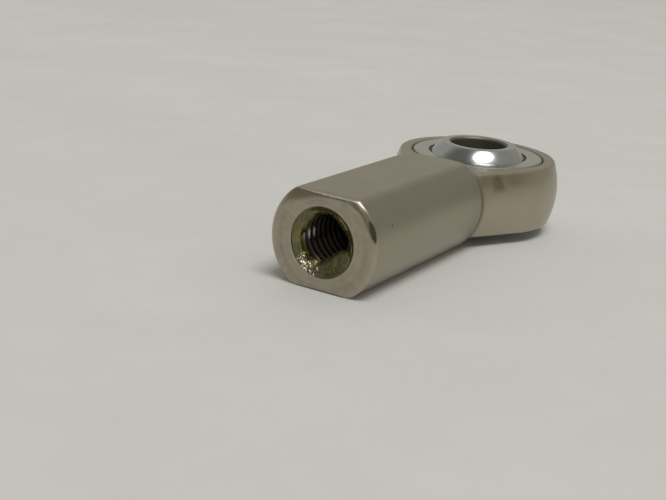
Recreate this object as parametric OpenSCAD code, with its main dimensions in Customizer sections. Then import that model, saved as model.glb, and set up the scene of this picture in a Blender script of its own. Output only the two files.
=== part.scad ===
// Female rod end bearing, 1/4 inch size: a threaded housing with a staked race,
// a bonded liner and a bored ball that tilts in it.
// Millimetres. The origin is the ball's centre, +Z is the ball's bore and +X runs
// along the shank, out of the threaded mouth.

/* [Housing] */
// Distance from the ball's centre to the mouth of the shank
centre_to_end = 33.325; // [30:0.025:40]
// Diameter of the turned head
head_d = 19.05; // [18:0.05:21]
// Width of the head between its two faces
head_w = 7.14; // [6.6:0.02:8]
// Diameter of the round shank
shank_d = 11.6; // [11:0.1:13]
// Distance across the two wrench flats
flat_w = 9.525; // [9.2:0.025:10]
// Distance from the ball's centre to the shoulder where the flats begin
shoulder_x = 10.55; // [10.1:0.05:12]
// Diameter of the neck, just inside the shoulder
neck_d = 11.0; // [9.6:0.1:11.4]
// Size of the chamfer round the mouth: across the end face, then along the shank
mouth_chamfer = [0.42, 0.25];

/* [Thread] */
// Diameter of the thread's crests, the wall that a screw meets
thread_minor_d = 5.48; // [5.2:0.02:5.7]
// Diameter of the countersink at the mouth
countersink_d = 6.86; // [6.4:0.02:7.6]
// Full depth of the threaded hole, without its drill point
thread_depth = 19.05; // [12:0.05:20]
// Point angle of the tapping drill, in degrees
drill_point = 118; // [90:1:140]

/* [Race and liner] */
// Outer diameter of the race, and of the eye that holds it
race_d = 15.04; // [14.6:0.02:15.6]
// Thickness of the liner between the race and the ball
liner_t = 0.3; // [0.2:0.01:0.4]
// Depth of the chamfers that make the staking groove round the race
stake_chamfer = 0.22; // [0.1:0.01:0.3]

/* [Ball] */
// Diameter of the ball
ball_d = 12.7; // [12:0.05:13]
// Width of the ball between its two faces
ball_w = 9.525; // [8.6:0.025:9.6]
// Diameter of the bore for the bolt
bore_d = 6.35; // [5.5:0.05:6.5]
// Depth of the chamfers at the bore's mouths
bore_chamfer = 0.2; // [0.1:0.05:0.4]
// Radial clearance between the ball and the liner
ball_gap = 0.02; // [0.01:0.01:0.1]

/* [Hidden] */
$fn = 120;

nickel = [0.60, 0.57, 0.49];
steel = [0.72, 0.73, 0.72];
ptfe = [0.23, 0.22, 0.20];
chrome = [0.82, 0.83, 0.85];

// The neck's cone runs into the head's sphere at this share of the head's radius
neck_reach = 0.515;
meet_x = head_d / 2 * neck_reach;
meet_r = sqrt(pow(head_d / 2, 2) - pow(meet_x, 2));
neck_slope = (neck_d / 2 - meet_r) / (shoulder_x - meet_x);
drill_point_h = thread_minor_d / 2 / tan(drill_point / 2);
countersink_h = (countersink_d - thread_minor_d) / 2;
liner_r = ball_d / 2 + ball_gap;
race_r = liner_r + liner_t;
// Length by which one shape passes the face of another that it cuts or joins
past = 1;

// A body turned about the shank's axis, from points of [place along X, radius]
module turned(outline) {
    rotate([0, 90, 0])
        rotate_extrude()
            polygon([for (point = outline) [point[1], point[0]]]);
}

// Everything between two planes across Z, from x_min to x_max
module slab(w, x_min, x_max) {
    translate([x_min, -head_d, -w / 2])
        cube([x_max - x_min, 2 * head_d, w]);
}

// A round hole along Z whose two mouths, w apart, are chamfered at 45 degrees
module chamfered_bore(r, w, chamfer) {
    cylinder(h = w + 2 * past, r = r, center = true);
    for (side = [0, 1])
        mirror([0, 0, side])
            translate([0, 0, w / 2 - chamfer])
                cylinder(h = chamfer + past, r1 = r, r2 = r + chamfer + past);
}

// The turned blank before milling: ball end, neck, shank and mouth chamfer
module turned_blank() {
    neck_x = meet_x - past;
    sphere(d = head_d);
    turned([
        [0, 0],
        [0, meet_r],
        [neck_x, meet_r - past * neck_slope],
        [shoulder_x, neck_d / 2],
        [shoulder_x, shank_d / 2],
        [centre_to_end - mouth_chamfer[1], shank_d / 2],
        [centre_to_end, shank_d / 2 - mouth_chamfer[0]],
        [centre_to_end, 0]
    ]);
}

// The drilled and countersunk hole that holds the thread
module threaded_hole() {
    bottom_x = centre_to_end - thread_depth;
    turned([
        [bottom_x - drill_point_h, 0],
        [bottom_x, thread_minor_d / 2],
        [centre_to_end - countersink_h, thread_minor_d / 2],
        [centre_to_end + past, countersink_d / 2 + past],
        [centre_to_end + past, 0]
    ]);
}

module rod_end_body() {
    color(nickel)
        difference() {
            intersection() {
                turned_blank();
                union() {
                    slab(head_w, -head_d, shoulder_x);
                    slab(flat_w, shoulder_x, centre_to_end + past);
                }
            }
            chamfered_bore(race_d / 2, head_w, stake_chamfer);
            threaded_hole();
        }
}

module bearing_race() {
    // Half the race's width at its chamfered rim
    rim = head_w / 2 - stake_chamfer;
    color(steel)
        difference() {
            union() {
                cylinder(h = 2 * rim, d = race_d, center = true);
                for (side = [0, 1])
                    mirror([0, 0, side])
                        translate([0, 0, rim])
                            cylinder(h = stake_chamfer, r1 = race_d / 2,
                                     r2 = race_d / 2 - stake_chamfer);
            }
            sphere(r = race_r);
        }
}

module ptfe_liner() {
    color(ptfe)
        intersection() {
            difference() {
                sphere(r = race_r);
                sphere(r = liner_r);
            }
            cube([head_d, head_d, head_w], center = true);
        }
}

module ball() {
    color(chrome)
        difference() {
            intersection() {
                sphere(d = ball_d);
                cube([head_d, head_d, ball_w], center = true);
            }
            chamfered_bore(bore_d / 2, ball_w, bore_chamfer);
        }
}

rod_end_body();
bearing_race();
ptfe_liner();
ball();
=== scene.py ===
"""The looks of a female rod end bearing: a nickel-plated housing with two wrench flats and a
threaded mouth, a steel race staked into its eye, a woven liner, and a polished ball.

Shapes are worked out in millimetres, in the CAD frame: the origin is the ball's centre, +Z is the
ball's bore and +X runs along the shank, out of the mouth. Meshes are made in metres."""
import math

import bmesh
import bpy
import numpy as np
from mathutils import Matrix, Vector


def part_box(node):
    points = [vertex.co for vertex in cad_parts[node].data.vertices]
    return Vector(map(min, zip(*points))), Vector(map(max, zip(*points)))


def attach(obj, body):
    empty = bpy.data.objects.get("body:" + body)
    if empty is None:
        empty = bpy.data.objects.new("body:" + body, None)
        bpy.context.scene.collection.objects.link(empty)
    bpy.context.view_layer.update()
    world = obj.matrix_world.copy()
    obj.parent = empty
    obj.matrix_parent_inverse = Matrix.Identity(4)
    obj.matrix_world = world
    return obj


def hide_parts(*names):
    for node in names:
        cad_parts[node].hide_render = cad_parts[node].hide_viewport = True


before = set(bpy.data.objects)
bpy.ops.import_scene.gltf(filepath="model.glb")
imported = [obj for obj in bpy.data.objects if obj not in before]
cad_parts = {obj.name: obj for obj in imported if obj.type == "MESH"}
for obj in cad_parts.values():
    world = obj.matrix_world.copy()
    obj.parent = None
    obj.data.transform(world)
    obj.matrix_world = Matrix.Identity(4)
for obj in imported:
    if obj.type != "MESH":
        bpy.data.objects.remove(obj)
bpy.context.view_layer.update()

MM = 0.001
TAU = 2 * math.pi


def corners(node):
    """Lowest and highest corner of a CAD node, in millimetres."""
    return [np.array(corner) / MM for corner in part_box(node)]


# ---- Sizes read from the frame -----------------------------------------------------------------
BODY_LOW, BODY_HIGH = corners("rod_end_body")
MOUTH_X = BODY_HIGH[0]
FLAT_Z = BODY_HIGH[2]
HEAD_R = -BODY_LOW[0]
RACE_R = corners("bearing_race")[1][0]
HEAD_Z = corners("bearing_race")[1][2]
SEAT_R = corners("ptfe_liner")[1][0]
BALL_R, _, BALL_Z = corners("ball")[1]

# ---- Sizes of the housing that a box doesn't tell ----------------------------------------------
SHANK_R = 5.8
SHOULDER_X = 10.55
NECK_R = 5.5
NECK_REACH = 0.515          # share of the head's radius at which the neck runs into the head
MOUTH_CHAMFER = (0.42, 0.25)
STAKE_CHAMFER = 0.22
COUNTERSINK_R = 3.43
THREAD_MINOR_R = 2.74
THREAD_MAJOR_R = 3.175
THREAD_PITCH = 25.4 / 28
THREAD_DEPTH = 19.05
DRILL_POINT = math.radians(118)

# ---- Roundings, as the span over which two faces blend -----------------------------------------
FLAT_BLEND = 0.12           # long edges between flats and round sides
FAR_BLEND = 0.40            # what is added to that at the shoulder, where tumbling wore most
CHAMFER_BLEND = 0.10        # both sides of the mouth's chamfer
ROLLED_BLEND = 0.34         # front edges of the flats, rolled over by tumbling
BEVEL_BLEND = 0.12          # filed, deburred and burnished marks at the mouth
KNOCK_BLEND = 0.20          # the blunted corner of the mouth
BACK_BLEND = 0.12           # edges of the shank's back end
SHOULDER_BLEND = 0.07       # the crease where the shank meets the head
NECK_BLEND = 0.8            # half the length over which the neck runs into the head
RIM_BLEND = 0.18            # rims of the head's faces
COUNTERSINK_BLEND = 0.06    # where the countersink meets the thread's crests

# ---- The ball, and the gap round it ------------------------------------------------------------
BORE_R = 3.175
BORE_CHAMFER = 0.2
BALL_GAP = 0.02

# ---- Fineness of the meshes --------------------------------------------------------------------
LONGEST_STEP = 0.55         # between rows of the housing
WIDEST_TURN = math.radians(12)  # from row to row, where the housing bends
HOUSING_COLUMNS = 300       # round the housing's outside
HOLE_COLUMNS = 100          # round the threaded hole, a whole share of the outside's
RING_SEGMENTS = 256         # round the eye, the race, the liner and the ball

# ---- Marks of handling, each flat given by three of its points ---------------------------------
DEBURRED_CORNER = ((MOUTH_X, -3.8, 3.34), (MOUTH_X, -0.2, 4.50), (MOUTH_X - 0.3, -3.0, 4.7))
FILED_EDGE = ((MOUTH_X, 3.9, 3.72), (MOUTH_X, 5.08, 1.83), (MOUTH_X - 0.42, 4.92, 3.07))
KNOCKED_CORNER = ((MOUTH_X, 2.75, 4.62), (MOUTH_X, 4.30, 3.66), (MOUTH_X - 0.50, 3.31, FLAT_Z))
BURNISHED_LOW = FLAT_Z - 0.24
BURNISHED_EDGE = (
    (MOUTH_X, -3, BURNISHED_LOW),
    (MOUTH_X, 3, BURNISHED_LOW),
    (MOUTH_X - 0.6, 0, FLAT_Z),
)
HANDLING_MARKS = (
    (DEBURRED_CORNER, BEVEL_BLEND),
    (FILED_EDGE, BEVEL_BLEND),
    (KNOCKED_CORNER, KNOCK_BLEND),
    (BURNISHED_EDGE, BEVEL_BLEND),
)

# ---- Places of small marks ---------------------------------------------------------------------
PIT = (29.83, 5.38, 2.16)
YELLOW_SPOT = (32.34, -1.21, -2.32)


# ---- Small helpers -----------------------------------------------------------------------------
def smooth_max(a, b, span):
    """The larger of two distances, blended where they differ by less than span."""
    overlap = np.maximum(span - np.abs(a - b), 0) / span
    return np.maximum(a, b) + overlap * overlap * span / 4


def smooth_min(a, b, span):
    return -smooth_max(-a, -b, span)


def step(low, high, value):
    """0 below low, 1 above high, and smooth between them."""
    share = np.clip((value - low) / (high - low), 0, 1)
    return share * share * (3 - 2 * share)


def within(value, low, inner_low, inner_high, high):
    """1 between the inner bounds, and smoothly down to 0 at the outer ones."""
    return step(low, inner_low, value) * step(high, inner_high, value)


def make_object(name, mesh):
    piece = bpy.data.objects.new(name, mesh)
    bpy.context.scene.collection.objects.link(piece)
    return piece


def welded_mesh(name, patches):
    """One closed mesh in metres from patches of (points in mm, faces), joined where they meet."""
    mesh = bpy.data.meshes.new(name)
    points = []
    faces = []
    for patch_points, patch_faces in patches:
        start = len(points)
        points.extend(np.asarray(patch_points).reshape(-1, 3) * MM)
        faces.extend([[start + i for i in face] for face in patch_faces])
    mesh.from_pydata([tuple(p) for p in points], [], faces)
    work = bmesh.new()
    work.from_mesh(mesh)
    bmesh.ops.remove_doubles(work, verts=work.verts, dist=0.002 * MM)
    bmesh.ops.recalc_face_normals(work, faces=work.faces)
    work.to_mesh(mesh)
    work.free()
    return mesh


def smooth_with_sharp_edges(mesh):
    sharp = math.radians(32)
    mesh.shade_smooth()
    mesh.set_sharp_from_angle(angle=sharp)


def grid_faces(rows, columns):
    """Quads of a grid of rows * columns points, row after row."""
    return [
        (i * columns + j, i * columns + j + 1, (i + 1) * columns + j + 1, (i + 1) * columns + j)
        for i in range(rows - 1)
        for j in range(columns - 1)
    ]


def fan_faces(columns, pole):
    return [(j, j + 1, pole) for j in range(columns - 1)]


# ---- The housing's outside, as a distance function ---------------------------------------------
def flat_distance(flat, x, y, z):
    """How far a point is outside the flat through three points. It faces away from the origin."""
    first, second, third = [np.array(point) for point in flat]
    out = np.cross(second - first, third - first)
    out *= np.sign(out @ first) / np.linalg.norm(out)
    return out[0] * x + out[1] * y + out[2] * z - out @ first


def housing_distance(x, y, z):
    """How far a point is outside the housing without its holes: negative inside."""
    radius = np.hypot(y, z)
    height = np.abs(z)
    across, along = MOUTH_CHAMFER
    chamfer = (x - MOUTH_X) * across + (radius - SHANK_R + across) * along
    chamfer = chamfer / math.hypot(across, along)
    rolled = step(3.5, 4.4, height)
    front_blend = CHAMFER_BLEND + (ROLLED_BLEND - CHAMFER_BLEND) * rolled
    far_corner = step(SHOULDER_X + 4, SHOULDER_X, x)
    shank = smooth_max(radius - SHANK_R, height - FLAT_Z, FLAT_BLEND + FAR_BLEND * far_corner)
    shank = smooth_max(shank, chamfer, CHAMFER_BLEND)
    shank = smooth_max(shank, x - MOUTH_X, front_blend)
    for flat, blend in HANDLING_MARKS:
        shank = smooth_max(shank, flat_distance(flat, x, y, z), blend)
    shank = smooth_max(shank, SHOULDER_X - x, BACK_BLEND + FAR_BLEND * step(3.6, 4.4, height))

    meet_x = HEAD_R * NECK_REACH
    slope = (math.sqrt(HEAD_R**2 - meet_x**2) - NECK_R) / (SHOULDER_X - meet_x)
    neck = (radius - NECK_R + slope * (x - SHOULDER_X)) / math.hypot(1, slope)
    sphere = np.hypot(x, radius) - HEAD_R
    turned = sphere + (neck - sphere) * step(meet_x - NECK_BLEND, meet_x + NECK_BLEND, x)
    head = smooth_max(turned, height - HEAD_Z, RIM_BLEND)
    return smooth_min(shank, head, SHOULDER_BLEND)


def housing_normal(points):
    """Unit outward directions at points on the housing."""
    reach = 0.01
    slopes = []
    for axis in range(3):
        shift = np.zeros(3)
        shift[axis] = reach
        ahead = housing_distance(*np.moveaxis(points + shift, -1, 0))
        behind = housing_distance(*np.moveaxis(points - shift, -1, 0))
        slopes.append(ahead - behind)
    slopes = np.stack(slopes, -1)
    return slopes / np.maximum(np.linalg.norm(slopes, axis=-1, keepdims=True), 1e-9)


def housing_points(origin_x, lean, turn):
    """Where rays from the axis leave the housing. lean is a ray's angle from +X, turn its angle
    round X from +Y towards +Z."""
    aim = np.stack([
        np.cos(lean) + 0 * turn,
        np.sin(lean) * np.cos(turn),
        np.sin(lean) * np.sin(turn),
    ], -1)
    start = np.zeros_like(aim)
    start[..., 0] = origin_x + 0 * turn
    near = np.zeros(aim.shape[:-1])
    far = near + 2 * HEAD_R
    halvings = 34
    for _ in range(halvings):
        middle = (near + far) / 2
        outside = housing_distance(*np.moveaxis(start + middle[..., None] * aim, -1, 0)) > 0
        far = np.where(outside, middle, far)
        near = np.where(outside, near, middle)
    return start + near[..., None] * aim


def travel(points, axis):
    """Length and change of facing between neighbours along an axis of a grid of points."""
    normals = housing_normal(points)
    length = np.linalg.norm(np.diff(points, axis=axis), axis=-1)
    turning = np.linalg.norm(np.diff(normals, axis=axis), axis=-1)
    return length, turning


def ray_rows():
    """The rows of the housing's grid from the mouth to the nose of the head, as the rays' origins
    and leans, closer together where the surface bends."""
    fan_depth = 5
    rim_width = 0.12
    fan_x = MOUTH_X - fan_depth
    tail_x = SHOULDER_X + 2.5
    mouth_lean = math.atan2(COUNTERSINK_R + rim_width, fan_depth)
    back_lean = math.radians(125)
    knots = [
        (fan_x, mouth_lean),
        (fan_x, math.pi / 2),
        (tail_x, math.pi / 2),
        (tail_x, back_lean),
        (0, back_lean),
        (0, math.radians(179.6)),
    ]
    origin_knots, lean_knots = zip(*knots)
    order = range(len(knots))
    samples = 1600
    share = np.linspace(0, len(knots) - 1, samples)
    origins = np.interp(share, order, origin_knots)
    leans = np.interp(share, order, lean_knots)
    lines = 37
    turns = np.linspace(0, TAU, lines)[None, :]
    length, turning = travel(housing_points(origins[:, None], leans[:, None], turns), 0)
    weight = (length / LONGEST_STEP + turning / WIDEST_TURN).max(axis=1)
    total = np.concatenate([[0], np.cumsum(weight)])
    places = np.interp(np.linspace(0, total[-1], math.ceil(total[-1])), total, share)
    return np.interp(places, order, origin_knots), np.interp(places, order, lean_knots)


def ray_columns(origins, leans, count):
    """For each row, count + 1 turns from 0 to a full turn, closer where the surface bends."""
    samples = 721
    turns = np.linspace(0, TAU, samples)[None, :]
    length, turning = travel(housing_points(origins[:, None], leans[:, None], turns), 1)
    bend_share = 0.35
    turning += 1e-6
    weight = (1 - bend_share) * length / length.sum(axis=1, keepdims=True)
    weight += bend_share * turning / turning.sum(axis=1, keepdims=True)
    total = np.concatenate([np.zeros((len(origins), 1)), np.cumsum(weight, axis=1)], axis=1)
    wanted = np.linspace(0, 1, count + 1)
    columns = np.array([np.interp(wanted, row / row[-1], turns[0]) for row in total])

    # Each row takes the mean of the rows near it, so that the columns run on smoothly.
    reach = 4
    padded = np.pad(columns, ((reach, reach), (0, 0)), mode="edge")
    return np.mean([padded[i:i + len(columns)] for i in range(2 * reach + 1)], axis=0)


def outside_patches(columns):
    """The housing's outside, closed at the nose and open round the countersink."""
    origins, leans = ray_rows()
    turns = ray_columns(origins, leans, columns)
    points = housing_points(origins[:, None], leans[:, None], turns)
    skin = (points, grid_faces(len(origins), columns + 1))
    nose = np.vstack([points[-1], [(-HEAD_R, 0, 0)]])
    return [skin, (nose, fan_faces(columns + 1, columns + 1))], points[0]


# ---- The threaded hole -------------------------------------------------------------------------
def thread_profile(phase):
    """Radius of a 60 degree internal thread at a phase of its pitch, with its corners eased."""
    rise = (THREAD_MAJOR_R - THREAD_MINOR_R) * math.tan(math.radians(30)) / THREAD_PITCH
    crest = 0.25
    phases = [0, crest, crest + rise, 1 - rise, 1]
    radii = [THREAD_MINOR_R, THREAD_MINOR_R, THREAD_MAJOR_R, THREAD_MAJOR_R, THREAD_MINOR_R]
    ease = 0.02
    return sum(np.interp((phase + shift) % 1, phases, radii) for shift in (-ease, 0, ease)) / 3


def residue_radius(depth, turn):
    """How far from the axis the dried oil leaves the mouth open. It pooled at the bottom and
    smeared over the first turns of the thread, and closes them along straight lines: each has the
    direction in which it lies, in degrees, and its nearest point to the axis."""
    lines = [(-56, 1.35), (-105, 2.3), (0, 2.15), (50, 2.05), (95, 2.5), (142, 2.25)]
    clear = 3.6             # a distance at which a line leaves the whole mouth open
    lumps = 0.05 * np.sin(5 * turn + 2 * depth) + 0.03 * np.sin(13 * turn - 7 * depth)
    lumps += 0.015 * np.sin(31 * turn + 14 * depth)
    lumps *= step(0, 0.3, depth)
    swell = np.interp(depth, [0, 0.3, 0.8, 1.1, 1.6, 2.1], [0, 0.45, 0.85, 1, 0.7, 0])
    reach = np.full(np.broadcast(depth, turn).shape, 2 * COUNTERSINK_R)
    for way, nearest in lines:
        facing = np.maximum(np.cos(turn - math.radians(way)), 0.05)
        reach = np.minimum(reach, (clear - (clear - nearest) * swell + lumps) / facing)
    return reach


def hole_radius(depth, turn, phase):
    """Radius of the threaded hole's wall. Past the thread it is the drill's cone."""
    fade = np.clip((THREAD_DEPTH - depth) / THREAD_PITCH, 0, 1)
    wall = THREAD_MINOR_R + (thread_profile(phase) - THREAD_MINOR_R) * fade
    wall = smooth_max(wall, COUNTERSINK_R - depth, COUNTERSINK_BLEND)
    wall = np.where(depth < 1e-6, COUNTERSINK_R, wall)
    return np.minimum(wall, residue_radius(depth, turn))


def hole_patches(outer_ring, columns):
    """The threaded hole and the ring of end face round it. Grid rows follow the helix and stop
    at the mouth and at the thread's end."""
    # Where the rows of one pitch lie: closer together at the corners of the thread's profile.
    phases = np.array([-0.02, 0.03, 0.12, 0.22, 0.27, 0.39, 0.5, 0.55, 0.65, 0.71, 0.76, 0.88])
    pitches = math.ceil(THREAD_DEPTH / THREAD_PITCH) + 1
    rows = (np.arange(pitches + 1)[:, None] + phases[None, :]).ravel()
    rows = rows[rows * THREAD_PITCH < THREAD_DEPTH + THREAD_PITCH]
    rows = np.append(rows, THREAD_DEPTH / THREAD_PITCH + 1)
    turns = np.linspace(0, TAU, columns + 1)[None, :]
    depth = np.clip((rows[:, None] - turns / TAU) * THREAD_PITCH, 0, THREAD_DEPTH)
    radius = hole_radius(depth, turns, rows[:, None] % 1 + 0 * turns)
    points = np.stack([MOUTH_X - depth, radius * np.cos(turns), radius * np.sin(turns)], -1)
    wall = (points, grid_faces(len(rows), columns + 1))

    tip_x = MOUTH_X - THREAD_DEPTH - THREAD_MINOR_R / math.tan(DRILL_POINT / 2)
    end = np.vstack([points[-1], [(tip_x, 0, 0)]])
    tip = (end, fan_faces(columns + 1, columns + 1))

    ratio = (len(outer_ring) - 1) // columns
    ring_points = np.vstack([outer_ring, points[0]])
    inner = len(outer_ring)
    ring_faces = [
        list(range(ratio * j, ratio * (j + 1) + 1)) + [inner + j + 1, inner + j]
        for j in range(columns)
    ]
    return [wall, tip, (ring_points, ring_faces)]


# ---- Turned pieces -----------------------------------------------------------------------------
def arc(radius, start, end, points):
    """Points of [radius, height] on a circle round the origin, between two heights."""
    low, high = math.asin(start / radius), math.asin(end / radius)
    return [(radius * math.cos(a), radius * math.sin(a)) for a in np.linspace(low, high, points)]


def eased(outline, size, points=4):
    """A closed outline with each corner of 15 degrees or more rounded off by size."""
    corner = math.radians(15)
    result = []
    for i, here in enumerate(outline):
        here = np.array(here, float)
        before = np.array(outline[i - 1], float) - here
        after = np.array(outline[(i + 1) % len(outline)], float) - here
        room_before, room_after = np.linalg.norm(before), np.linalg.norm(after)
        bend = math.pi - math.acos(np.clip(before @ after / room_before / room_after, -1, 1))
        if bend < corner:
            result.append(tuple(here))
            continue
        start = here + before / room_before * min(size, room_before / 2)
        end = here + after / room_after * min(size, room_after / 2)
        for way in np.linspace(0, 1, points):
            back = 1 - way
            result.append(tuple(back**2 * start + 2 * way * back * here + way**2 * end))
    return result


def make_ring(name, outline, rounding):
    """A ring turned round Z from a closed outline of (radius, height), its corners rounded off."""
    outline = eased(outline, rounding)
    radii, heights = np.array(outline + outline[:1]).T
    turns = np.linspace(0, TAU, RING_SEGMENTS + 1)[:, None]
    points = np.stack([radii * np.cos(turns), radii * np.sin(turns), heights + 0 * turns], -1)
    mesh = welded_mesh(name, [(points, grid_faces(RING_SEGMENTS + 1, len(radii)))])
    smooth_with_sharp_edges(mesh)
    return make_object(name, mesh)


def eye_cutter():
    """What is cut out of the head for the race: a hole with chamfered mouths."""
    past = 0.5
    rim = HEAD_Z - STAKE_CHAMFER
    wide = RACE_R + STAKE_CHAMFER + past
    half = [(RACE_R, rim), (wide, HEAD_Z + past)]
    outline = [(r, -z) for r, z in reversed(half)] + half
    segments = RING_SEGMENTS
    turns = np.linspace(0, TAU, segments + 1)
    sides = [(r * np.cos(turns), r * np.sin(turns), z + 0 * turns) for r, z in outline]
    sides = [np.stack(side, -1) for side in sides]
    patches = [(np.vstack(sides), grid_faces(len(sides), segments + 1))]
    for side in (sides[0], sides[-1]):
        cap = np.vstack([side, [(0, 0, side[0][2])]])
        patches.append((cap, fan_faces(segments + 1, segments + 1)))
    return make_object("eye_cutter", welded_mesh("eye_cutter", patches))


def cut(piece, cutter):
    """Takes cutter out of piece and removes it."""
    change = piece.modifiers.new("cut", "BOOLEAN")
    change.operation = "DIFFERENCE"
    change.object = cutter
    change.solver = "MANIFOLD"
    evaluated = piece.evaluated_get(bpy.context.evaluated_depsgraph_get())
    mesh = bpy.data.meshes.new_from_object(evaluated)
    piece.modifiers.clear()
    piece.data = mesh
    bpy.data.objects.remove(cutter)


def place(piece, node, body, slot, material):
    """Makes a finished piece stand for its CAD node."""
    piece.data.materials.clear()
    piece.data.materials.append(material)
    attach(piece, body)
    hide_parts(node)


# ---- Material helpers --------------------------------------------------------------------------
class Shader:
    """A material's node tree, with short ways to add the nodes that the finishes share."""

    def __init__(self, name):
        self.material = bpy.data.materials.new(name)
        self.material.use_nodes = True
        self.tree = self.material.node_tree
        self.surface = self.tree.nodes["Principled BSDF"]
        self.place = self.add("ShaderNodeTexCoord").outputs["Object"]

    def add(self, kind, inputs=(), **settings):
        node = self.tree.nodes.new(kind)
        for key, value in settings.items():
            setattr(node, key, value)
        for key, value in dict(inputs).items():
            self.feed(node.inputs[key], value)
        return node

    def feed(self, socket, value):
        """Links an output to a socket, or sets the socket's own value."""
        if isinstance(value, bpy.types.NodeSocket):
            self.tree.links.new(value, socket)
        else:
            socket.default_value = value

    def set(self, **values):
        for key, value in values.items():
            self.feed(self.surface.inputs[key.replace("_", " ")], value)

    def math(self, operation, a, b=0.0, c=0.0):
        node = self.add("ShaderNodeMath", {0: a, 1: b, 2: c}, operation=operation)
        return node.outputs[0]

    def times(self, a, b):
        return self.math("MULTIPLY", a, b)

    def noise(self, size, detail=2.0, place=None, stretch=(1, 1, 1)):
        """Noise from 0 to 1 whose features are about size millimetres across."""
        spread = tuple(1 / (size * MM * part) for part in stretch)
        mapping = self.add("ShaderNodeMapping", {"Vector": place or self.place, "Scale": spread})
        inputs = {"Vector": mapping.outputs[0], "Scale": 1.0, "Detail": detail}
        return self.add("ShaderNodeTexNoise", inputs).outputs[0]

    def mask(self, name):
        """A mask painted on the mesh's points."""
        node = self.add("ShaderNodeAttribute", attribute_name=name)
        return node.outputs["Fac"]

    def span(self, value, low, high, to_low=0.0, to_high=1.0):
        """value moved from low..high to to_low..to_high, held at its ends."""
        ends = {"From Min": low, "From Max": high, "To Min": to_low, "To Max": to_high}
        return self.add("ShaderNodeMapRange", {"Value": value, **ends}, clamp=True).outputs[0]

    def mix(self, share, a, b):
        node = self.add("ShaderNodeMix", data_type="RGBA")
        self.feed(node.inputs[0], share)
        self.feed(node.inputs[6], a)
        self.feed(node.inputs[7], b)
        return node.outputs[2]

    def blend(self, share, a, b):
        node = self.add("ShaderNodeMix", data_type="FLOAT")
        self.feed(node.inputs[0], share)
        self.feed(node.inputs[2], a)
        self.feed(node.inputs[3], b)
        return node.outputs[0]

    def bump(self, height, depth, normal=None):
        """A bump whose full height is depth millimetres."""
        inputs = {"Height": height, "Distance": depth * MM, "Strength": 1.0}
        if normal is not None:
            inputs["Normal"] = normal
        return self.add("ShaderNodeBump", inputs).outputs[0]

    def radius(self, axis):
        """Distance from a coordinate axis, in metres."""
        others = [i for i in range(3) if i != "XYZ".index(axis)]
        parts = self.add("ShaderNodeSeparateXYZ", {0: self.place}).outputs
        squares = [self.math("POWER", parts[i], 2.0) for i in others]
        return self.math("SQRT", self.math("ADD", *squares))

    def near(self, place, reach, core=0.0):
        """1 within core millimetres of a place, and 0 beyond reach."""
        spot = tuple(part * MM for part in place)
        away = self.add("ShaderNodeVectorMath", {0: self.place, 1: spot}, operation="DISTANCE")
        return self.span(away.outputs["Value"], core * MM, reach * MM, 1.0, 0.0)

    def rings(self, axis, size, detail=3.0):
        """Concentric tool marks round an axis, about size millimetres apart."""
        line = self.add("ShaderNodeCombineXYZ", {0: self.radius(axis)}).outputs[0]
        return self.noise(size, detail, line)


def rgb(red, green, blue):
    return (red, green, blue, 1.0)


# ---- Materials ---------------------------------------------------------------------------------
# Dark brown for dark lines and marks, and for painted shade by the shoulder.
DARK_BROWN = rgb(0.075, 0.066, 0.050)


def plating_tone(look, mottle):
    """Warm grey nickel, softly mottled, and duller on the shank's round sides."""
    tone = look.mix(look.span(mottle, 0.3, 0.7), rgb(0.43, 0.392, 0.31), rgb(0.465, 0.427, 0.34))
    patches = look.span(look.noise(9.0, 2.0), 0.4, 0.75, 0.0, 0.35)
    tone = look.mix(patches, tone, rgb(0.385, 0.343, 0.257))
    return look.mix(look.mask("round"), tone, rgb(0.351, 0.319, 0.248))


def turned_tone(look, tone, ring_shade):
    """Darker rings and paler clouds on the turned end face."""
    tone = look.mix(look.times(ring_shade, 0.75), tone, rgb(0.32, 0.283, 0.214))
    cloud = look.times(look.mask("turned"), look.span(look.noise(0.7, 4.0), 0.45, 0.7))
    return look.mix(look.times(cloud, 0.45), tone, rgb(0.52, 0.474, 0.39))


def worn_tone(look, tone, wear, glitter):
    """Rubbed edges, and the front edge that was burnished bright."""
    tone = look.mix(look.times(wear, 0.8), tone, rgb(0.74, 0.70, 0.62))
    burnished = look.times(look.mask("burnished"), look.span(glitter, 0.4, 0.6, 0.2, 1.0))
    return look.mix(burnished, tone, rgb(0.93, 0.90, 0.84))


def stain_and_shade_tone(look, tone, pit):
    """Brown stains, a brown crescent, painted shade on the deburred corner, and a dark spot in a
    dent.
    """
    stain_and_shade = look.times(look.mask("stain_and_shade"), look.span(look.noise(0.8, 3.0), 0.2, 0.7, 0.6, 1.0))
    tone = look.mix(look.times(stain_and_shade, 0.85), tone, rgb(0.19, 0.13, 0.056))
    return look.mix(look.times(pit, 0.55), tone, DARK_BROWN)


def bare_steel_tone(look, mottle):
    """Unplated thread steel: painted shade in its depths, painted highlights on a few crests."""
    tone = look.mix(mottle, rgb(0.13, 0.095, 0.082), rgb(0.20, 0.152, 0.13))
    # Painted shade in the hole's depths.
    tone = look.mix(look.mask("hole_shade"), tone, rgb(0.018, 0.016, 0.015))
    # Painted highlights on a few crests.
    return look.mix(look.mask("crest"), tone, rgb(0.80, 0.76, 0.74))


def oil_film(look, smears):
    """How fully dried oil covers the mouth: in smears, and broken where it glints."""
    uneven = look.math("ADD", look.mask("film"), look.span(smears, 0.3, 0.7, -0.3, 0.3))
    film = look.span(uneven, 0.25, 0.85)
    glint = look.times(look.mask("glint"), look.span(look.noise(0.22, 2.0), 0.42, 0.56))
    return look.times(film, look.span(glint, 0.0, 1.0, 1.0, 0.1))


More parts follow.
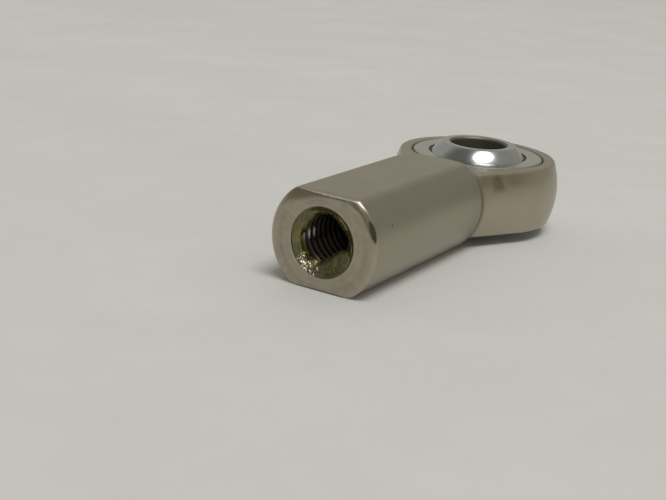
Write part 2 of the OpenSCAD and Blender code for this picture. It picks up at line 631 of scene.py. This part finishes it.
def oil_tone(look, smears):
    """Olive oil, darker where it is thick, with pale wisps and one bright yellow spot."""
    smeared = look.span(smears, 0.38, 0.64)
    tone = look.mix(smeared, rgb(0.068, 0.062, 0.016), rgb(0.185, 0.172, 0.036))
    thick = look.span(look.mask("film"), 0.9, 1.0, 0.0, 0.5)
    tone = look.mix(thick, tone, rgb(0.052, 0.047, 0.008))
    curl = look.math("ABSOLUTE", look.math("SUBTRACT", look.noise(1.1, 2.0), 0.5))
    wisps = look.times(look.mask("film"), look.span(curl, 0.0, 0.045, 0.3, 0.0))
    tone = look.mix(wisps, tone, rgb(0.30, 0.29, 0.12))
    yellow_spot = look.times(look.near(YELLOW_SPOT, 0.75, 0.2), look.span(look.noise(0.3, 3.0), 0.4, 0.6))
    return look.mix(yellow_spot, tone, rgb(0.62, 0.55, 0.13))


def nickel_material():
    """Satin nickel plate: wear, stains, painted shade and highlights, bare steel and dried oil."""
    look = Shader("nickel_plate")
    mottle = look.noise(3.5, 4.0)
    grain = look.noise(0.09, 3.0)
    glitter = look.noise(0.16, 2.0)
    ripples = look.noise(0.3, 3.0)
    rings = look.blend(0.5, look.rings("X", 0.14), look.rings("X", 0.55, 1.0))
    ring_shade = look.times(look.mask("turned"), look.span(rings, 0.38, 0.6))
    wear = look.times(look.mask("wear"), look.span(look.noise(0.35, 3.0), 0.35, 0.6))
    smears = look.blend(0.45, look.rings("X", 0.25, 2.0), look.noise(0.9, 3.0))
    film = oil_film(look, smears)
    pit = look.near(PIT, 0.22, 0.06)
    steel = look.mask("thread")
    # Groove mask: dark lines, a brown crescent, and painted shade by the shoulder.
    darkening = look.mask("groove")

    tone = plating_tone(look, mottle)
    tone = turned_tone(look, tone, ring_shade)
    tone = worn_tone(look, tone, wear, glitter)
    tone = stain_and_shade_tone(look, tone, pit)
    tone = look.mix(steel, tone, bare_steel_tone(look, mottle))
    tone = look.mix(look.times(film, 0.85), tone, oil_tone(look, smears))
    tone = look.mix(look.times(darkening, 0.85), tone, DARK_BROWN)

    rough = look.span(grain, 0.2, 0.8, 0.30, 0.42)
    rough = look.blend(wear, rough, 0.14)
    rough = look.blend(look.mask("burnished"), rough, 0.12)
    rough = look.blend(darkening, rough, 0.7)
    rough = look.blend(steel, rough, look.blend(look.mask("crest"), 0.34, 0.5))
    rough = look.blend(film, rough, 0.09)
    rough = look.blend(look.mask("glint"), rough, 0.12)
    rough = look.blend(pit, rough, 0.7)

    relief = look.bump(grain, 0.0010)
    relief = look.bump(ring_shade, 0.0055, relief)
    relief = look.bump(look.times(look.mask("wear"), look.noise(0.3, 3.0)), 0.06, relief)
    relief = look.bump(look.times(look.mask("film"), ripples), 0.035, relief)
    relief = look.bump(look.times(look.mask("glint"), ripples), 0.07, relief)
    relief = look.bump(look.times(look.mask("burnished"), glitter), 0.075, relief)
    relief = look.bump(pit, -0.03, relief)
    look.set(Base_Color=tone, Roughness=rough, Normal=relief)
    look.set(Metallic=look.span(film, 0.0, 1.0, 1.0, 0.6))
    return look.material


def race_material():
    """Turned bearing steel, brighter than the plating, with painted shade on its +X side."""
    look = Shader("turned_race_steel")
    rings = look.rings("Z", 0.12)
    grain = look.noise(0.08, 3.0)
    tone = look.mix(look.span(rings, 0.3, 0.7), rgb(0.52, 0.51, 0.46), rgb(0.59, 0.585, 0.535))
    # Painted shade on the race's +X side, dimming its reflection there.
    front_shade = look.times(look.mask("front_shade"), look.span(look.noise(1.5, 3.0), 0.3, 0.6, 0.6, 1.0))
    tone = look.mix(front_shade, tone, rgb(0.37, 0.365, 0.325))
    relief = look.bump(grain, 0.0008)
    relief = look.bump(rings, 0.0030, relief)
    darkening = look.mask("groove")
    tone = look.mix(look.times(darkening, 0.85), tone, DARK_BROWN)
    rough = look.blend(darkening, look.span(grain, 0.2, 0.8, 0.20, 0.30), 0.7)
    look.set(Base_Color=tone, Metallic=1.0, Normal=relief, Roughness=rough)
    return look.material


def liner_material():
    """Dark resin-filled fabric, whose threads cross at the visible edge."""
    look = Shader("liner_fabric")
    parts = look.add("ShaderNodeSeparateXYZ", {0: look.place}).outputs
    turn = look.math("ARCTAN2", parts[1], parts[0])
    threads_in_a_turn = 150.0
    radians_per_metre = 26000.0
    weft = look.math("SINE", look.times(turn, threads_in_a_turn))
    warp = look.math("SINE", look.times(look.radius("Z"), radians_per_metre))
    weave = look.span(look.times(weft, warp), -1.0, 1.0)
    speck = look.noise(0.15, 4.0)
    tone = look.mix(weave, rgb(0.055, 0.052, 0.040), rgb(0.12, 0.115, 0.09))
    tone = look.mix(look.span(speck, 0.5, 0.8, 0.0, 0.6), tone, rgb(0.03, 0.028, 0.022))
    look.set(Base_Color=tone, Roughness=look.span(speck, 0.2, 0.8, 0.55, 0.85))
    look.set(Normal=look.bump(look.math("ADD", weave, speck), 0.02))
    return look.material


def chrome_material():
    """Polished ball with fine scratches and smears, and a dull bore darkened as painted shade."""
    look = Shader("polished_chrome")
    smear = look.noise(1.6, 4.0)
    scratch = look.noise(0.05, 2.0, stretch=(1, 1, 0.35))
    fine = look.span(scratch, 0.62, 0.75)
    tone = look.mix(look.span(smear, 0.35, 0.75), rgb(0.505, 0.515, 0.52), rgb(0.44, 0.45, 0.457))
    rough = look.span(smear, 0.3, 0.8, 0.17, 0.24)
    rough = look.math("ADD", rough, look.times(fine, 0.05))
    # Painted shade inside the bore and on its chamfer.
    mouth = (BORE_R + BORE_CHAMFER) * MM
    bored = look.span(look.radius("Z"), mouth, mouth + 0.03 * MM, 1.0, 0.0)
    tone = look.mix(bored, tone, rgb(0.22, 0.21, 0.165))
    look.set(Base_Color=tone, Metallic=1.0, Roughness=look.blend(bored, rough, 0.55))
    look.set(Normal=look.bump(scratch, 0.0003))
    return look.material


def floor_material():
    """Pale matt board, faintly mottled, with a fine fibre texture."""
    look = Shader("pale_board")
    cloud = look.noise(30, 3.0)
    fibre = look.noise(1.2, 4.0)
    tone = look.mix(look.span(cloud, 0.3, 0.7), rgb(0.755, 0.751, 0.745), rgb(0.80, 0.797, 0.793))
    patches = look.span(look.noise(8, 3.0), 0.4, 0.7, 0.0, 0.6)
    tone = look.mix(patches, tone, rgb(0.745, 0.737, 0.717))
    tone = look.mix(look.span(fibre, 0.45, 0.8, 0.0, 0.25), tone, rgb(0.72, 0.714, 0.703))
    look.set(Base_Color=tone, Roughness=0.75, Normal=look.bump(fibre, 0.02))
    return look.material


# ---- Masks painted on the housing --------------------------------------------------------------
def paint(mesh, name, values):
    layer = mesh.attributes.new(name, "FLOAT", "POINT")
    layer.data.foreach_set("value", values.astype(np.float32))


def groove(radius, z):
    """The dark line where the race is staked into the eye."""
    recessed = step(HEAD_Z - 0.01, HEAD_Z - 0.06, np.abs(z))
    return step(0.30, 0.12, np.abs(radius - RACE_R)) * recessed


def points_of(mesh):
    flat = np.zeros(len(mesh.vertices) * 3)
    mesh.vertices.foreach_get("co", flat)
    return flat.reshape(-1, 3) / MM


def paint_plating(mesh, points, skin):
    """Worn and burnished edges, the turned end face, and the shank's round sides."""
    x, y, z = points.T
    depth = MOUTH_X - x
    normals = housing_normal(points)
    below = 0.12
    inner = housing_normal(points - below * normals)
    bend = np.linalg.norm(normals - inner, axis=1)
    worn = step(0.25, 0.8, bend) * step(SHOULDER_X + 1, SHOULDER_X + 2, x)
    burnished = step(0.05, 0.0, np.abs(flat_distance(BURNISHED_EDGE, x, y, z)))
    burnished *= step(0.42, 0.2, depth)
    side = step(4.75, 4.3, np.abs(z))
    side *= step(SHOULDER_X, SHOULDER_X + 0.3, x)
    side *= step(0.2, 0.5, depth)
    paint(mesh, "wear", np.where(skin, worn, 0))
    paint(mesh, "burnished", np.where(skin, burnished, 0))
    paint(mesh, "turned", np.where(skin, step(0.12, 0.02, depth), 0))
    paint(mesh, "round", np.where(skin, 0.75 * side, 0))


def paint_stains_and_shade(mesh, points, skin, hole):
    """Brown stains on the head, a brown crescent on the mouth's edge, dark lines at the eye and
    the mouth's rim, and painted shade on the deburred corner and by the shoulder's crease.
    """
    x, y, z = points.T
    radius = np.hypot(y, z)
    turn = np.arctan2(z, y)
    depth = MOUTH_X - x
    band = within(x, 2.0, 6.5, 9.6, 10.3) * within(z, 1.6, 2.7, 3.2, 3.5)
    spot = within(x, 6.5, 7.7, 8.2, 9.0) * within(z, 1.2, 2.3, 3.1, 3.6)
    on_head = np.where(y > 0, np.maximum(0.6 * band, spot), 0)
    # Painted shade on the deburred corner's face.
    bevel_shade = step(0.04, 0.0, np.abs(flat_distance(DEBURRED_CORNER, x, y, z)))
    # A dark brown crescent on the mouth's chamfer, also dark and rough through the groove mask.
    middle, half_length = math.radians(25), math.radians(18)
    crescent = 0.40 * (1 - ((turn - middle) / half_length) ** 2)
    brown_crescent = step(0.08, -0.04, np.hypot(SHANK_R - radius, depth) - crescent)
    paint(mesh, "stain_and_shade", np.where(skin, np.maximum.reduce([on_head, 0.35 * bevel_shade, brown_crescent]), 0))

    # Painted shade on the neck next to the shoulder's crease.
    crease = step(0.9, 0.35, SHOULDER_X - x) * (x < SHOULDER_X)
    darkening = np.where(skin, np.maximum(0.65 * crease, brown_crescent), 0)
    darkening = np.where(hole, 0.4 * step(0.3, 0.08, depth), darkening)
    paint(mesh, "groove", np.maximum(groove(np.hypot(x, y), z), darkening))


def paint_hole(mesh, points, hole):
    """Bare steel with painted shade in its depths and roots, painted highlights on two crests,
    and the dried oil with its glints.
    """
    x, y, z = points.T
    radius = np.hypot(y, z)
    turn = np.arctan2(z, y)
    depth = MOUTH_X - x
    # Painted shade: darker deeper in, except along the bottom, and in the thread's roots.
    dark = np.maximum(step(1.3, 2.8, depth) * step(-1.9, -0.8, z), step(6, 8.5, depth))
    dark = np.maximum(dark, 0.8 * step(0.05, 0.25, radius - THREAD_MINOR_R))
    highlight_way, wet_way = math.radians(184), math.radians(-122)
    # Painted highlight on the crests at one turn of the wall, near the mouth.
    crest = step(0.12, 0.02, radius - THREAD_MINOR_R)
    crest *= step(0.20, 0.05, np.abs(turn % TAU - highlight_way))
    crest *= within(depth, 0.9, 1.2, 3.0, 3.6)
    paint(mesh, "thread", np.where(hole, step(0.55, 0.8, depth), 0))
    paint(mesh, "hole_shade", np.where(hole, 0.95 * dark, 0))
    paint(mesh, "crest", np.where(hole, crest, 0))

    pooled = np.abs(radius - residue_radius(depth, turn)) < 0.01
    # The pooled oil is painted a little lighter towards the top.
    paler_towards_top = 1 - 0.08 * step(-0.5, 1.0, z)
    smeared = np.where(hole, 0.88 * step(2.6, 0.9, depth), 0)
    glinting = step(0.75, 0.25, np.abs(turn - wet_way)) * step(0.95, 0.6, depth)
    paint(mesh, "film", np.where(hole & pooled, paler_towards_top, smeared))
    paint(mesh, "glint", np.where(hole, glinting, 0))


def paint_housing(mesh):
    """Where the housing's finish, painted shade and highlights change, from each point's place."""
    points = points_of(mesh)
    x, y, z = points.T
    radius = np.hypot(y, z)
    in_mouth = (radius < COUNTERSINK_R + 0.01) & (MOUTH_X - x < THREAD_DEPTH + 2)
    hole = in_mouth & (x > SHOULDER_X)
    touching = 0.02
    skin = (np.abs(housing_distance(x, y, z)) < touching) & ~hole
    paint_plating(mesh, points, skin)
    paint_stains_and_shade(mesh, points, skin, hole)
    paint_hole(mesh, points, hole)


# ---- Pieces ------------------------------------------------------------------------------------
def make_housing():
    patches, outer_ring = outside_patches(HOUSING_COLUMNS)
    patches += hole_patches(outer_ring, HOLE_COLUMNS)
    piece = make_object("housing_shell", welded_mesh("housing_shell", patches))
    cut(piece, eye_cutter())
    smooth_with_sharp_edges(piece.data)
    paint_housing(piece.data)
    place(piece, "rod_end_body", "housing", "nickel_plated_steel", nickel_material())


def make_race():
    fit = 0.01
    rim = HEAD_Z - STAKE_CHAMFER
    outer = RACE_R - fit
    half = [(outer, rim), (outer - STAKE_CHAMFER, HEAD_Z)]
    outline = arc(SEAT_R, -HEAD_Z, HEAD_Z, 40) + list(reversed(half)) + [(r, -z) for r, z in half]
    piece = make_ring("staked_race", outline, 0.06)
    x, y, z = points_of(piece.data).T
    paint(piece.data, "groove", groove(np.hypot(x, y), z))
    # Painted shade on the race's +X side.
    paint(piece.data, "front_shade", step(4.2, 6.2, 0.95 * x + 0.31 * y))
    place(piece, "bearing_race", "housing", "race_steel", race_material())


def make_liner():
    """The liner stands a little below the race's faces, where the ball's edge has trimmed it."""
    face = HEAD_Z - 0.14
    outline = arc(BALL_R + BALL_GAP, -face, face, 40) + arc(SEAT_R, face, -face, 40)
    piece = make_ring("woven_liner", outline, 0.05)
    place(piece, "ptfe_liner", "housing", "liner_fabric", liner_material())


def make_ball():
    mouth = [(BORE_R + BORE_CHAMFER, BALL_Z), (BORE_R, BALL_Z - BORE_CHAMFER)]
    bore = mouth + [(r, -z) for r, z in reversed(mouth)]
    outline = arc(BALL_R, -BALL_Z, BALL_Z, 64) + bore
    piece = make_ring("polished_ball", outline, 0.05)
    place(piece, "ball", "swivel_ball", "ball_chrome", chrome_material())


# ---- Floor, light and camera -------------------------------------------------------------------
def make_floor():
    """The board that the object lies on, flat face down."""
    half_width = 1.5
    height = BODY_LOW[2] * MM
    sides = ((-1, -1), (1, -1), (1, 1), (-1, 1))
    points = [(x * half_width, y * half_width, height) for x, y in sides]
    mesh = bpy.data.meshes.new("floor")
    mesh.from_pydata(points, [], [(0, 1, 2, 3)])
    mesh.materials.append(floor_material())
    make_object("floor", mesh)


def aim(thing, place, at):
    thing.location = place
    thing.rotation_mode = "QUATERNION"
    thing.rotation_quaternion = (Vector(at) - Vector(place)).to_track_quat("-Z", "Y")


def toward(azimuth, elevation):
    """A unit vector from angles in degrees, the azimuth from +X towards +Y."""
    azimuth, elevation = math.radians(azimuth), math.radians(elevation)
    level = math.cos(elevation)
    return Vector((level * math.cos(azimuth), level * math.sin(azimuth), math.sin(elevation)))


def make_lamp(name, way, distance, angles, radiance, colour):
    """A soft lamp that looks, from the object, like an ellipse with half angles in degrees."""
    across, upright = [distance * math.tan(math.radians(angle)) for angle in angles]
    lamp = bpy.data.lights.new(name, "AREA")
    lamp.shape = "ELLIPSE"
    lamp.size = 2 * across
    lamp.size_y = 2 * upright
    area = math.pi * across * upright
    lamp.energy = radiance * math.pi * area
    lamp.color = colour
    aim(make_object(name, lamp), way * distance, (0, 0, 0))


def make_world():
    """A plain pale room, dim in front of the mouth and a little brighter on its -Y side."""
    world = bpy.data.worlds.new("room")
    world.use_nodes = True
    tree = world.node_tree
    background = tree.nodes["Background"].inputs
    direction = tree.nodes.new("ShaderNodeTexCoord").outputs["Generated"]

    def nearness(way):
        """From 1 in the direction way to -1 opposite it."""
        node = tree.nodes.new("ShaderNodeVectorMath")
        node.operation = "DOT_PRODUCT"
        node.inputs[1].default_value = way
        tree.links.new(direction, node.inputs[0])
        return node.outputs["Value"]

    def ramp(value, **ends):
        node = tree.nodes.new("ShaderNodeMapRange")
        for end, number in ends.items():
            node.inputs[end.replace("_", " ")].default_value = number
        tree.links.new(value, node.inputs["Value"])
        return node

    dimming = ramp(nearness(toward(-12, 33)), From_Min=0.42, From_Max=0.74)
    dimming.interpolation_type = "SMOOTHSTEP"
    colour = tree.nodes.new("ShaderNodeMix")
    colour.data_type = "RGBA"
    colour.inputs[6].default_value = rgb(0.413, 0.405, 0.363)
    colour.inputs[7].default_value = rgb(0.165, 0.160, 0.140)
    tree.links.new(dimming.outputs[0], colour.inputs[0])
    tree.links.new(colour.outputs[2], background["Color"])

    strength = ramp(nearness(toward(120, 0)), From_Min=-1, To_Min=1.14, To_Max=0.86)
    tree.links.new(strength.outputs[0], background["Strength"])
    bpy.context.scene.world = world


def make_camera():
    """Low in front of the mouth, towards +Y, and turned a little on its own axis."""
    roll = Matrix.Rotation(math.radians(4.63), 3, "Z").to_quaternion()
    camera = bpy.data.cameras.new("camera")
    camera.sensor_width = 36
    camera.lens = 62.75
    camera.clip_start = 0.01
    camera.clip_end = 20
    holder = make_object("camera", camera)
    back = toward(30.35, 17.375)
    place = Vector((0.121686, 0.053019, 0.031660))
    aim(holder, place, place - back)
    holder.rotation_quaternion = holder.rotation_quaternion @ roll
    bpy.context.scene.camera = holder


make_camera()
make_world()
make_lamp("softbox", toward(55, 68), distance=2.5, angles=(18, 11), radiance=7.3,
          colour=(1.0, 0.99, 0.965))
make_floor()
make_housing()
make_race()
make_liner()
make_ball()

# Colours are shown as they come, with no film curve.
bpy.context.scene.view_settings.view_transform = "Standard"
